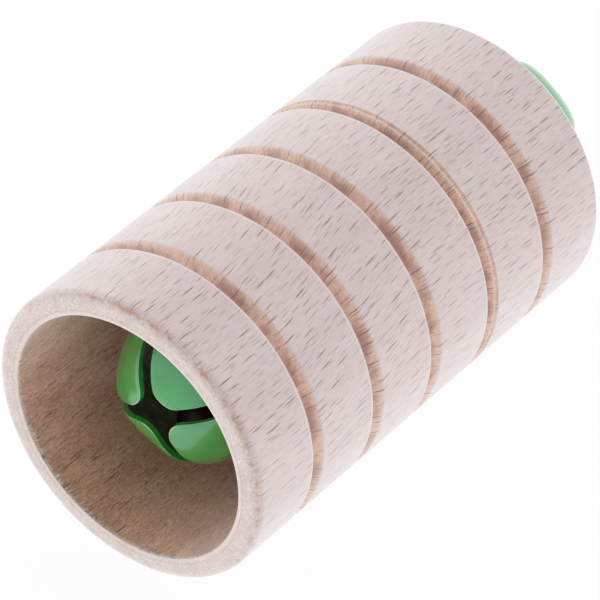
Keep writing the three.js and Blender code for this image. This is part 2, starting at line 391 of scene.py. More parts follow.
def ray_flecks(add, grain, along):
    """Share of the brown ray flecks: lenses along the grain, spread evenly over the side."""
    split = add("SeparateXYZ", [grain]).node.outputs
    turn = add("Math.ARCTAN2", [split["X"], split["Z"]])
    round_side = add("Math.MULTIPLY", [turn, BODY_RADIUS / MM])
    unrolled = add("CombineXYZ", [round_side, along])
    flecks = 0
    for cell, half_size, faintest, darkest in FLECKS:
        cells = add("VectorMath.DIVIDE", [unrolled, cell])
        lens = {"Vector": cells, "Scale": 1, "Randomness": 0.8}
        middle = add("TexVoronoi", lens, output="Position", voronoi_dimensions="2D")
        tint = add("SeparateColor", [middle.node.outputs["Color"]])
        force = add("MapRange", [tint, 0, 1, faintest, darkest])
        stretch = tuple(c / h for c, h in zip(cell, half_size))
        off_lens = add("VectorMath.SUBTRACT", [cells, middle])
        off_lens = add("VectorMath.MULTIPLY", [off_lens, stretch])
        off_lens = add("VectorMath.LENGTH", [off_lens], output="Value")
        # A darker fleck is a longer one.
        reach = add("MapRange", [tint, 0, 1, 1.3, 0.75])
        off_lens = add("Math.MULTIPLY", [off_lens, reach])
        fleck = add("MapRange", [off_lens, 1.05, 0.45])
        fleck = add("Math.MULTIPLY", [fleck, force], use_clamp=True)
        flecks = add("Math.MAXIMUM", [flecks, fleck])
    return flecks


def sanded_beech(colours, sizes):
    """Raw beech, turned, sanded and grooved.

    Sanding leaves pale pinkish wood with short brown ray flecks along the grain and a soft white
    nap. The grooving tool scorches the wood brown; the grooves darken towards their bottoms partly
    by scorch and partly by painted shade, and a pale line before each groove is a painted
    highlight.
    """
    material, add, place = new_material("sanded_raw_beech")
    along, from_end = along_axis(add, place)
    radius = from_axis(add, place)
    # Depth under the turned side, then what lies outside the bores, away from the ends, on an end
    # face and on the side.
    depth = add("Math.SUBTRACT", [BODY_RADIUS / MM, radius])
    outside = add("Math.LESS_THAN", [depth, 2])
    between = add("Math.GREATER_THAN", [from_end, 4])
    face = add("MapRange", [from_end, 1.1, 0.1])
    side = add("Math.SUBTRACT", [outside, face], use_clamp=True)

    # The grain leans by up to ten degrees over the front half, and leans more in the grooves.
    # Its fibres are drawn coarser than real ones, so that they show.
    lean = add("MapRange", [along, 10, 60, 0, 0.2], interpolation_type="SMOOTHSTEP")
    grain = add("VectorRotate", {"Vector": place, "Axis": (0, 1, 0), "Angle": lean})
    twist = add("Math.MULTIPLY", [along, 0.02])
    torn = add("VectorRotate", {"Vector": place, "Axis": (0, 1, 0), "Angle": twist})
    fibre, band, pore, cloud, streak, scorch, patch = wood_patterns(
        add,
        (
            (grain, (0.18, 2, 0.18), 3, 0.7),
            (grain, (5, 45, 5), 2, 0.5),
            (place, (0.5, 0.5, 0.5), 3, 0.75),
            (place, (3, 3, 3), 2, 0.6),
            (torn, (0.4, 12, 0.4), 3, 0.7),
            (torn, (5, 12, 5), 3, 0.6),
            (place, (2.6, 2.6, 2.6), 4, 0.75),
        ),
    )

    # Side: pinker bands and fine fibres.
    wood = two_tone(add, colours.beech, colours.beech_pink, band, 0.38, 0.62)
    wood = toned(add, wood, fibre, 0.32, 0.68, 0.87, 1.12)
    fleck = ray_flecks(add, grain, along)
    fleck = add("Math.MULTIPLY", [fleck, side])

    # End faces: end grain, mottled by its pores, with pinker clouds.
    end_wood = two_tone(add, colours.end_grain, colours.end_pore, pore, 0.36, 0.68)
    end_wood = two_tone(add, end_wood, colours.end_pore, cloud, 0.45, 0.7, 0, 0.6)

    # Grooves: brown from just under the surface, with streaks of torn grain that lean across the
    # groove, between scorched blocks. The brown darkens towards the bottom, partly scorch and
    # partly painted shade in the recess.
    ragged = shifted(add, depth, streak, 0.3, 0.7, -0.08, 0)
    scraped = add("MapRange", [ragged, 0, 0.1])
    for limit in (outside, between):
        scraped = add("Math.MULTIPLY", [scraped, limit])
    # Depth broken up by scorched patches: the deep colour is partly scorch and partly painted
    # shade.
    scorched = shifted(add, depth, scorch, 0.42, 0.58, -0.5, 0.5)
    groove = two_tone(add, colours.groove, colours.groove_deep_scorch_and_shade, scorched, 0.3, 1.7)
    groove = toned(add, groove, streak, 0.36, 0.64, 1.12, 0.82)

    # A pale line about 0.4 mm wide just before each groove is a painted highlight on the groove's
    # front lip.
    pitch = groove_row(sizes)[1] / MM
    off_lip = add("Math.SUBTRACT", [along, sizes.front_band / MM - 0.2])
    off_lip = add("Math.WRAP", [off_lip, pitch / 2, -pitch / 2])
    off_lip = add("Math.ABSOLUTE", [off_lip])
    lip = add("MapRange", [off_lip, 0.35, 0.1, 0, 0.6])
    lip = add("Math.MULTIPLY", [lip, between])

    # The rounded front edge is scorched in reddish patches along the middle of its rounding.
    off_middle = add("Math.SUBTRACT", [depth, along])
    off_middle = add("Math.ABSOLUTE", [off_middle])
    off_middle = shifted(add, off_middle, patch, 0.35, 0.65, 1.2, -0.9)
    rim = add("MapRange", [off_middle, 0.7, -0.5])
    rim = add("Math.MULTIPLY", [rim, outside])

    # The broken edge of each mouth is torn paler than the face, about 0.7 mm wide.
    off_mouth = (BODY_RADIUS - sizes.wall) / MM
    off_mouth = add("Math.SUBTRACT", [radius, off_mouth])
    off_mouth = add("Math.ADD", [off_mouth, pore])
    mouth = add("MapRange", [off_mouth, 1.4, 0.8, 0, 0.6])

    # The fine turned line in each end face is painted darker in broken patches, as painted shade in
    # its crease.
    off_line = add("Math.SUBTRACT", [radius, sizes.line_radius / MM])
    off_line = add("Math.ABSOLUTE", [off_line])
    line = add("MapRange", [off_line, 0.25, 0, 0, 0.3])
    line_shade_patches = add("MapRange", [patch, 0.4, 0.65])
    line = add("Math.MULTIPLY", [line, line_shade_patches])

    layers = (
        (face, end_wood),
        (scraped, groove),
        (fleck, colours.fleck),
        # Painted highlight before each groove.
        (lip, colours.lip),
        (rim, colours.rim),
        (mouth, colours.lip),
        # Painted shade in the turned line.
        (line, colours.rim),
    )
    for share, layer in layers:
        wood = add("Mix", {0: share, 6: wood, 7: layer}, output=2, data_type="RGBA")
    relief = add("Mix", {0: face, 2: fibre, 3: pore})
    surface = {
        "Base Color": wood,
        "Roughness": 0.55,
        "IOR": 1.5,
        "Specular IOR Level": 1,
        "Normal": add("Bump", {"Height": relief, "Strength": 1, "Distance": 0.085 * MM}),
        "Sheen Weight": 1,
        "Sheen Roughness": 0.7,
    }
    return finish(material, surface)


def bored_beech(colours):
    """Raw beech as the boring bit leaves it: brown and rough, with open pores and a pale mouth."""
    material, add, place = new_material("bored_raw_beech")
    from_end = along_axis(add, place)[1]

    # Torn grain, in wider patches. The wood is painted darker the deeper it lies in the bore, as
    # painted shade.
    torn, patch, tear = wood_patterns(
        add,
        (
            (place, (0.22, 1.2, 0.22), 4, 0.8),
            (place, (4, 12, 4), 3, 0.6),
            (place, (0.9, 2, 0.9), 3, 0.7),
        ),
    )
    share = add("Mix", {0: 0.25, 2: torn, 3: patch})
    wood = two_tone(add, colours.bore, colours.bore_dark, share, 0.4, 0.6)
    # Painted shade: darker the deeper in the bore.
    wood = toned(add, wood, from_end, 4, 26, 1, 0.85)

    # Open pores: reddish streaks about 0.25 mm wide and 2 to 6 mm long, broken up by torn grain.
    cells = add("VectorMath.DIVIDE", [place, (0.5, 7, 0.5)])
    pore = add("TexVoronoi", {"Vector": cells, "Scale": 1}, output="Distance")
    tint = add("SeparateColor", [pore.node.outputs["Color"]])
    force = add("MapRange", [tint, 0.2, 1, 0, 0.9])
    pore = shifted(add, pore, torn, 0.35, 0.65, 0.15, -0.15)
    pore = add("MapRange", [pore, 0.36, 0.14])
    pore = add("Math.MULTIPLY", [pore, force])

    # The bit breaks the mouth's edge: pale for about 0.7 mm, with reddish tears about 1 mm wide and
    # deep.
    tear = add("MapRange", [tear, 0.54, 0.64, 0, 0.75])
    tear_reach = add("MapRange", [from_end, 1.4, 0.6])
    tear = add("Math.MULTIPLY", [tear, tear_reach])
    ragged = shifted(add, from_end, torn, 0.3, 0.7, -0.4, 0.4)
    mouth = add("MapRange", [ragged, 1.1, 0.3])
    stain = colours.bore_pore
    for share, layer in ((pore, stain), (mouth, colours.fibre), (tear, stain)):
        wood = add("Mix", {0: share, 6: wood, 7: layer}, output=2, data_type="RGBA")

    # The torn nap is pale where it is seen along the surface.
    relief = add("Math.SUBTRACT", [torn, pore])
    surface = {
        "Base Color": wood,
        "Roughness": 0.8,
        "Normal": add("Bump", {"Height": relief, "Strength": 0.7, "Distance": 0.12 * MM}),
        "Sheen Weight": 1,
        "Sheen Roughness": 0.58,
    }
    return finish(material, surface)


def drawn_dowel(colours):
    """Beech dowel, drawn through a die: plain brown-pink wood with lengthwise fibres."""
    material, add, place = new_material("drawn_beech_dowel")
    fibre, = wood_patterns(add, ((place, (0.4, 12, 0.4), 4, 0.65),))
    surface = {
        "Base Color": two_tone(add, colours.beech_pink, colours.bore, fibre, 0.35, 0.7),
        "Roughness": 0.6,
        "Normal": add("Bump", {"Height": fibre, "Strength": 0.3, "Distance": 0.06 * MM}),
    }
    return finish(material, surface)


def torn_fibre(colours):
    """Beech fibres torn up by the boring bit: pale, dull hairs."""
    material, add, place = new_material("torn_beech_fibre")
    # The tone changes from hair to hair, about every millimetre.
    tone, = wood_patterns(add, ((place, (1, 1, 1), 1, 0.5),))
    wood = two_tone(add, colours.fibre, colours.end_grain, tone, 0.35, 0.65)
    return finish(material, {"Base Color": wood, "Roughness": 0.8})


def green_enamel(colours):
    """Green enamel, dipped and baked on pressed sheet: glossy, with a faint orange peel."""
    material, add, place = new_material("dipped_green_enamel")
    # Orange peel about 1.6 mm wide, and a slow change of tone where the dip ran, about 6 mm wide.
    peel = add("TexNoise", {"Vector": place, "Scale": 1 / 1.6, "Detail": 2})
    base, _ = clouded(add, place, colours.enamel, 6, 1, 0.88, 1.12)
    surface = {
        "Base Color": base,
        "Roughness": 0.25,
        "IOR": 1.52,
        "Specular IOR Level": 1,
        "Specular Tint": colours.gloss,
        "Coat Weight": 1,
        "Coat Roughness": 0.15,
        "Normal": add("Bump", {"Height": peel, "Strength": 0.12, "Distance": 0.05 * MM}),
    }
    return finish(material, surface)


def thin_enamel_and_highlight(colours, end, centre):
    """Enamel drawn thin over a bell's cut edges, pale on the outer corners: partly thin enamel,
    partly a painted highlight.
    """
    material, add, place = new_material(f"thin_enamel_on_{end}_bell_edges")
    # Thin and covered stretches change about every 1.2 mm.
    wear = add("TexNoise", {"Vector": place, "Scale": 1 / 1.2, "Detail": 3})
    wear = add("MapRange", [wear, 0.25, 0.5])
    # An outer corner faces away from the bell's centre.
    normal = add("TexCoord", output="Normal")
    seat = normal.node.outputs["Object"]
    outwards = add("VectorMath.SUBTRACT", [seat, centre])
    outwards = add("VectorMath.NORMALIZE", [outwards])
    outer = add("VectorMath.DOT_PRODUCT", [outwards, normal], output="Value")
    outer = add("MapRange", [outer, -0.1, 0.3])
    # Pale on worn outer corners: partly thin enamel, partly painted highlight.
    thin = add("Math.MULTIPLY", [wear, outer])
    layers = {0: thin, 6: colours.enamel, 7: colours.enamel_thin_and_highlight}
    base = add("Mix", layers, output=2, data_type="RGBA")
    return finish(material, {"Base Color": base, "Roughness": 0.3})


def primed_sheet(colours):
    """Primed sheet inside the bells: one dull coat of grey-green primer, thin in places."""
    material, add, place = new_material("primed_sheet")
    # Thin patches about 2 mm wide.
    base, _ = clouded(add, place, colours.primer, 2, 4, 0.6, 1.2)
    return finish(material, {"Base Color": base, "Roughness": 0.6})


def zinc_plate(colours):
    """Bright zinc plating on turned steel: metallic grey with faint turning rings."""
    material, add, place = new_material("zinc_plated_steel")
    # Turning rings about 0.15 mm apart, and clouds in the plating about 1.5 mm wide.
    ring = {"W": from_axis(add, place), "Scale": 1 / 0.15, "Detail": 1}
    rings = add("TexNoise", ring, noise_dimensions="1D")
    base, cloud = clouded(add, place, colours.zinc, 1.5, 3, 0.85, 1.05)
    surface = {
        "Base Color": base,
        "Metallic": 1,
        "Roughness": add("MapRange", [cloud, 0.3, 0.7, 0.26, 0.42]),
        "Normal": add("Bump", {"Height": rings, "Strength": 0.1, "Distance": 0.02 * MM}),
    }
    return finish(material, surface)


def tumbled_iron(colours):
    """Cold-headed iron ball, tumbled: dark, dull metal with small pits."""
    material, add, place = new_material("tumbled_iron")
    # Pits about 0.6 mm wide.
    base, pits = clouded(add, place, colours.iron, 0.6, 3, 0.75, 1.15)
    surface = {
        "Base Color": base,
        "Metallic": 1,
        "Roughness": 0.55,
        "Normal": add("Bump", {"Height": pits, "Strength": 0.2, "Distance": 0.05 * MM}),
    }
    return finish(material, surface)


def white_paper(colours, settings):
    """White paper on a light table: evenly lit from below, with a faint shadow."""
    material, add, place = new_material("white_background_paper")
    strength = add("MapRange", [seen_directly(add), 0, 1, settings.table, 1])
    # Paper tooth about 1 mm wide, too faint to show on the lit paper.
    base, _ = clouded(add, place, colours.floor, 1, 2, 0.99, 1.01)
    matt = add("BsdfDiffuse", {"Color": base})
    glow = add("Emission", {"Color": (1, 1, 1, 1), "Strength": strength})
    shader = add("MixShader", [settings.table_share, matt, glow])
    add("OutputMaterial", {"Surface": shader})
    return material


def evenly(start, stop, steps):
    """Values from start to stop in equal steps."""
    return [start + (stop - start) * step / steps for step in range(steps + 1)]


def arc(centre, radius, start, stop, steps):
    """Points on an arc in the plane of a turned profile, from start to stop in degrees."""
    turns = [math.radians(turn) for turn in evenly(start, stop, steps)]
    return [(centre[0] + radius * math.cos(t), centre[1] + radius * math.sin(t)) for t in turns]


def turned(profile, steps):
    """A bmesh turned about the shaker's axis from a closed profile of (radius, place along Y)."""
    bm = bmesh.new()
    points = [bm.verts.new((radius, along, AXIS_HEIGHT)) for radius, along in profile]
    for start, stop in zip(points, points[1:] + points[:1]):
        bm.edges.new((start, stop))
    bmesh.ops.spin(
        bm,
        geom=bm.verts[:] + bm.edges[:],
        cent=(0, 0, AXIS_HEIGHT),
        axis=(0, 1, 0),
        angle=2 * math.pi,
        steps=steps,
        use_merge=True,
    )
    bmesh.ops.remove_doubles(bm, verts=bm.verts[:], dist=MERGE)
    bmesh.ops.recalc_face_normals(bm, faces=bm.faces[:])
    return bm


def box_radius(low, high):
    """Radius of a turned CAD piece from its box, to a tenth of a millimetre."""
    return round((high.x - low.x) / 2 / MM, 1) * MM


def new_object(bm, name, materials=()):
    """Makes an object of a bmesh and links it to the scene."""
    mesh = bpy.data.meshes.new(name)
    bm.to_mesh(mesh)
    bm.free()
    for material in materials:
        mesh.materials.append(material)
    made = bpy.data.objects.new(name, mesh)
    bpy.context.scene.collection.objects.link(made)
    return made


def publish(bm, name, body, materials, nodes=(), sharp=40):
    """Makes a finished piece of a bmesh: it rides on a body and stands for CAD nodes."""
    piece = new_object(bm, name, materials)
    piece.data.shade_smooth()
    piece.data.set_sharp_from_angle(angle=math.radians(sharp))
    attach(piece, body)
    if nodes:
        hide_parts(*nodes)
    return piece


def end_profile(sizes, round_radius):
    """Profile of one end, from the rod's hole to the outside, with 0 at the end face."""
    bore = BODY_RADIUS - sizes.wall
    floor = sizes.bore_depth
    line = sizes.line_radius
    half_line = sizes.line_width / 2
    fillet = sizes.bore_fillet
    bend = sizes.mouth * MOUTH_BEND
    return [
        (sizes.rod_bore, floor),
        *arc((bore - fillet, floor - fillet), fillet, 90, 0, steps=4),
        (bore, sizes.mouth),
        (bore + bend, bend),
        (bore + sizes.mouth, 0),
        (line - half_line, 0),
        (line, half_line),
        (line + half_line, 0),
        (BODY_RADIUS - round_radius - KEEP_FLAT, 0),
        *arc((BODY_RADIUS - round_radius, round_radius), round_radius, -90, 0, steps=8),
        (BODY_RADIUS, round_radius + KEEP_FLAT),
    ]


def groove_profile(sizes, centre, slips):
    """Profile of one groove: a crisp front lip, a steep front wall and a long slope to the rear.

    Where the tool slipped, a small ridge and a second, shallow groove follow the first.
    """
    half = sizes.groove_width / 2
    edge = sizes.groove_edge
    lip = centre - half - edge
    ridge = sizes.slip_ridge if slips else 0
    bottom = DEEPEST * half
    slope_end = SLOPE_END * half
    first_end = SLIPPED_SLOPE_END * half if slips else slope_end
    points = [
        (BODY_RADIUS, lip - KEEP_FLAT),
        *arc((BODY_RADIUS - edge, lip), edge, 0, LIP_TURN, steps=4),
    ]
    for place, depth in FRONT_WALL:
        points.append((BODY_RADIUS - depth * sizes.groove_depth, centre + place * half))
    for share in evenly(0, 1, SLOPE_STEPS):
        depth = sizes.groove_depth * (1 + math.cos(math.pi * share)) / 2 + ridge * share
        points.append((BODY_RADIUS - depth, centre + bottom + (first_end - bottom) * share))
    if slips:
        for share in evenly(0, 1, SLIP_STEPS)[1:]:
            depth = ridge * (1 - share) + sizes.slip_depth * math.sin(math.pi * share)
            along = first_end + (slope_end - first_end) * share
            points.append((BODY_RADIUS - depth, centre + along))
    points.append((BODY_RADIUS, centre + slope_end + KEEP_FLAT))
    return points


class GUIRO_OT_body(bpy.types.Operator):
    """Turn the grooved beech body"""

    bl_idname = "guiro.body"
    bl_label = "Turned body"

    def execute(self, context):
        sizes = context.scene.guiro_body
        colours = context.scene.guiro_colours
        front, rear = BODY_LOW.y, BODY_HIGH.y
        first, pitch = groove_row(sizes)
        near_end = end_profile(sizes, sizes.front_round)
        far_end = end_profile(sizes, sizes.rear_round)
        profile = [(radius, front + depth) for radius, depth in near_end]
        for band in range(sizes.groove_count):
            slips = band == sizes.slipped_groove - 1
            profile += groove_profile(sizes, front + first + band * pitch, slips)
        profile += [(radius, rear - depth) for radius, depth in reversed(far_end)]
        bm = turned(profile, BODY_STEPS)
        # The bored finish ends within the broken edge of the mouth.
        bored = BODY_RADIUS - sizes.wall + sizes.mouth / 4
        for face in bm.faces:
            middle = face.calc_center_median()
            face.material_index = math.hypot(middle.x, middle.z - AXIS_HEIGHT) < bored
        finishes = [sanded_beech(colours, sizes), bored_beech(colours)]
        publish(bm, "turned_body", "guiro", finishes, ["guiro_body"])
        return {"FINISHED"}


class GUIRO_OT_fibres(bpy.types.Operator):
    """Tear up the fibres round the bores' mouths"""

    bl_idname = "guiro.fibres"
    bl_label = "Torn fibres"

    def execute(self, context):
        sizes = context.scene.guiro_body
        material = torn_fibre(context.scene.guiro_colours)
        lip = BODY_RADIUS - sizes.wall + sizes.mouth * MOUTH_BEND
        chance = random.Random(FIBRE_SEED)
        for end, face, inwards in (("front", BODY_LOW.y, 1), ("rear", BODY_HIGH.y, -1)):
            bm = bmesh.new()
            clumps = [chance.gauss(CLUMP_TURN, CLUMP_SPREAD) for clump in range(CLUMPS)]
            for hair in range(HAIRS):
                turn = math.radians(chance.choice(clumps) + chance.gauss(0, HAIR_SPREAD))
                self.tear(bm, chance, turn, lip, face, inwards)
            publish(bm, f"{end}_torn_fibres", "guiro", [material])
        return {"FINISHED"}

    def tear(self, bm, chance, turn, lip, face, inwards):
        """Adds one hair: a thin cone from the mouth's edge, lying inwards and across the bore."""
        out = Vector((math.sin(turn), 0, math.cos(turn)))
        side = Vector((math.cos(turn), 0, -math.sin(turn)))
        depth = chance.uniform(*HAIR_DEPTH) * MM
        root = out * lip + Vector((0, face + inwards * depth, AXIS_HEIGHT))
        lie = side * chance.gauss(0, HAIR_ASIDE) - out * chance.uniform(*HAIR_ACROSS)
        lie += Vector((0, inwards * chance.uniform(*HAIR_INTO), 0))
        reach = chance.uniform(*HAIR_LENGTH) * MM
        thick = chance.uniform(*HAIR_THICKNESS) * MM
        made = bmesh.ops.create_cone(
            bm, segments=3, radius1=thick, radius2=HAIR_POINT * MM, depth=reach
        )
        place = Matrix.Translation(root + lie.normalized() * reach * HAIR_MIDDLE)
        place = place @ lie.to_track_quat("Z", "Y").to_matrix().to_4x4()
        bmesh.ops.transform(bm, matrix=place, verts=made["verts"])


class GUIRO_OT_rod(bpy.types.Operator):
    """Make the dowel that carries the bells"""

    bl_idname = "guiro.rod"
    bl_label = "Bell rod"

    def execute(self, context):
        sizes = context.scene.guiro_fittings
        low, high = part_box("bell_rod")
        radius = box_radius(low, high)
        edge = sizes.rod_edge
        end = [
            (0, sizes.rod_hole_depth),
            (sizes.rod_hole, sizes.rod_hole_depth),
            (sizes.rod_hole, sizes.rod_hole_edge),
            (sizes.rod_hole + sizes.rod_hole_edge, 0),
            *arc((radius - edge, edge), edge, -90, 0, steps=5),
        ]
        profile = [(r, low.y + depth) for r, depth in end]
        profile += [(r, high.y - depth) for r, depth in reversed(end)]
        bm = turned(profile, FITTING_STEPS)
        publish(bm, "drawn_rod", "rod", [drawn_dowel(context.scene.guiro_colours)], ["bell_rod"])
        return {"FINISHED"}


def crown_point(sizes, rise):
    """Radius and height on the crown at an angle above the widest ring."""
    power = 2 / sizes.fullness
    return sizes.diameter / 2 * math.cos(rise) ** power, sizes.crown * math.sin(rise) ** power


def crown_rise(sizes, radius):
    """Angle above the widest ring at which the crown has a given radius."""
    return math.acos((2 * radius / sizes.diameter) ** (sizes.fullness / 2))


def bell_rows(sizes):
    """Rows up the bell's wall as (radius, height, half gap of the slit, angle on the crown)."""
    radius = sizes.diameter / 2
    half = sizes.slit / 2
    seat_rise = math.acos(sizes.seat / radius)
    seat_height = -sizes.bowl * math.sin(seat_rise)
    rows = [(sizes.hole, seat_height, 0, None), (sizes.seat_ring, seat_height, 0, None)]
    low_rise = math.asin((half - sizes.slit_end) / sizes.bowl)
    for rise in evenly(seat_rise, low_rise, BOWL_STEPS):
        rows.append((radius * math.cos(rise), -sizes.bowl * math.sin(rise), 0, None))
    for turn in evenly(0, math.pi / 2, SLIT_STEPS)[1:]:
        height = sizes.slit_end - half * math.cos(turn)
        if height < 0:
            wide = radius * math.sqrt(1 - (height / sizes.bowl) ** 2)
        else:
            share = (height / sizes.crown) ** sizes.fullness
            wide = radius * (1 - share) ** (1 / sizes.fullness)
        rows.append((wide, height, half * math.sin(turn), None))
    first = crown_rise(sizes, rows[-1][0])
    last = crown_rise(sizes, math.hypot(half, half + sizes.tip))
    for rise in evenly(first, last, CROWN_STEPS)[1:]:
        rows.append((*crown_point(sizes, rise), half, rise))
    return rows


def petal_tip(sizes, turn):
    """Angle on the crown of the petal's rounded tip at a turn from the slit, in radians."""
    corner = sizes.slit / 2 + sizes.tip
    toward = corner * (math.cos(turn) + math.sin(turn))
    radius = toward - math.sqrt(max(toward ** 2 - 2 * corner ** 2 + sizes.tip ** 2, 0))
    return crown_rise(sizes, radius)


def pressed(sizes, point):
    """A point of the crown after pressing: petals flattened, their edges turned in."""
    radius = math.hypot(point.x, point.z)
    if point.y <= 0:
        return point
    across = (2 * point.x * point.z / radius ** 2) ** 2
    along = 2 * radius * point.y / point.length_squared
    point = point * (1 - sizes.flattening * across * along)
    half = sizes.slit / 2
    corner = half + sizes.tip
    p, q = abs(point.x), abs(point.z)
    inset = min(p, q) - half
    if p < corner and q < corner:
        inset = min(inset, sizes.tip - math.hypot(p - corner, q - corner))
    share = max(0, 1 - max(inset, 0) / sizes.roll_width)
    start = min(1, point.y / sizes.roll_rise)
    return point - point.normalized() * sizes.roll * share ** 2 * start


def bell_sheet(sizes):
    """The bell's outer sheet about its own centre, with its crown towards +Y."""
    rows = bell_rows(sizes)
    eighth, quarter = math.pi / 4, math.pi / 2
    top_radius, _, half, top_rise = rows[-1]
    top_start = math.asin(half / top_radius)
    bm = bmesh.new()
    for petal in range(4):
        grid = bmesh.ops.create_grid(
            bm, x_segments=PETAL_COLUMNS, y_segments=len(rows) - 1, size=0.5
        )
        spin = Matrix.Rotation(petal * quarter, 3, "Y")
        for vert in grid["verts"]:
            even = 2 * vert.co.x
            side = EDGE_CROWDING * math.sin(even * quarter) + (1 - EDGE_CROWDING) * even
            radius, height, gap, rise = rows[round((vert.co.y + 0.5) * (len(rows) - 1))]
            turn = eighth + side * (eighth - math.asin(gap / radius))
            if rise is not None:
                share = max(0, (rise / top_rise - TIP_START) / (1 - TIP_START))
                share = share * share * (3 - 2 * share)
                tip = petal_tip(sizes, eighth + side * (eighth - top_start))
                radius, height = crown_point(sizes, rise + share * (tip - top_rise))
            place = Vector((radius * math.cos(turn), height, radius * math.sin(turn)))
            vert.co = spin @ pressed(sizes, place)
    bmesh.ops.remove_doubles(bm, verts=bm.verts[:], dist=MERGE)
    bmesh.ops.recalc_face_normals(bm, faces=bm.faces[:])
    return bm


class GUIRO_OT_bells(bpy.types.Operator):
    """Press and enamel the two jingle bells"""

    bl_idname = "guiro.bells"
    bl_label = "Jingle bells"

    def execute(self, context):
        sizes = context.scene.guiro_bells
        colours = context.scene.guiro_colours
        enamel, primer = green_enamel(colours), primed_sheet(colours)
        seat_height = sizes.bowl * math.sqrt(1 - (2 * sizes.seat / sizes.diameter) ** 2)
        for end, turn, outwards in (("front", sizes.front_turn, -1), ("rear", sizes.rear_turn, 1)):
            low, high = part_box(f"{end}_bell")
            seat = high.y if outwards < 0 else low.y
            centre = Vector((0, seat + outwards * seat_height, AXIS_HEIGHT))
            finishes = [enamel, primer, thin_enamel_and_highlight(colours, end, centre)]
            place = Matrix.Translation(centre)
            if outwards < 0:
                place = place @ Matrix.Rotation(math.pi, 4, "Z")
            place = place @ Matrix.Rotation(turn, 4, "Y")
            bm = bell_sheet(sizes)
            bmesh.ops.transform(bm, matrix=place, verts=bm.verts[:])
            bell = publish(
                bm, f"{end}_jingle_bell", f"{end}_bell", finishes, [f"{end}_bell"], sharp=60
            )
            self.thicken(bell, sizes)
        return {"FINISHED"}

    def thicken(self, bell, sizes):
        """Gives a bell its sheet's thickness, thin enamel with a painted highlight on its cut edges
        and a smooth round.
        """
        sheet = bell.modifiers.new("Sheet", "SOLIDIFY")
        sheet.thickness = sizes.sheet
        sheet.offset = -1
        sheet.use_even_offset = True
        sheet.use_quality_normals = True
        sheet.material_offset = 1
        edges = bell.modifiers.new("Cut edges", "BEVEL")
        edges.width = sizes.edge
        edges.segments = 2
        edges.limit_method = "ANGLE"
        edges.angle_limit = math.radians(50)
        edges.material = 2
        smooth = bell.modifiers.new("Rounding", "SUBSURF")
        smooth.levels = 1
        smooth.render_levels = 1


class GUIRO_OT_pellets(bpy.types.Operator):
    """Head the loose pellets of the bells"""

    bl_idname = "guiro.pellets"
    bl_label = "Pellets"

    def execute(self, context):
        sizes = context.scene.guiro_fittings
        material = tumbled_iron(context.scene.guiro_colours)
        for end in ("front", "rear"):
            low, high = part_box(f"{end}_pellet")
            radius = (high.y - low.y) / 2
            ball = radius - sizes.flash
            bm = bmesh.new()
            bmesh.ops.create_uvsphere(
                bm, u_segments=PELLET_STEPS, v_segments=PELLET_STEPS // 2, radius=ball
            )
            for vert in bm.verts:
                if abs(vert.co.z) < radius * PELLET_SEAM:
                    vert.co *= radius / ball
                elif abs(vert.co.z) > radius * PELLET_FLAT:
                    vert.co.z = math.copysign(radius * PELLET_FLAT, vert.co.z)
            bmesh.ops.translate(bm, vec=(low + high) / 2, verts=bm.verts[:])
            publish(bm, f"{end}_iron_pellet", f"{end}_pellet", [material], [f"{end}_pellet"])
        return {"FINISHED"}


def cross_recess(piece, sizes, top):
    """Cuts the cross recess into a screw's head, and keeps the result as the piece's own mesh."""
    bm = bmesh.new()
    long_side, short_side, depth = sizes.recess, sizes.recess_width, 2 * sizes.recess_depth
    for bar in ((long_side, depth, short_side), (short_side, depth, long_side)):
        made = bmesh.ops.create_cube(bm, size=1)
        bmesh.ops.scale(bm, vec=bar, verts=made["verts"])
    bmesh.ops.translate(bm, vec=(0, top, AXIS_HEIGHT), verts=bm.verts[:])
    cutter = new_object(bm, "cross_recess")
    cut = piece.modifiers.new("Cross recess", "BOOLEAN")
    cut.operation = "DIFFERENCE"
    cut.use_self = True
    cut.object = cutter
    bpy.context.view_layer.update()
    graph = bpy.context.evaluated_depsgraph_get()
    result = bpy.data.meshes.new_from_object(piece.evaluated_get(graph))
    piece.modifiers.clear()
    piece.data = result
    bpy.data.objects.remove(cutter)


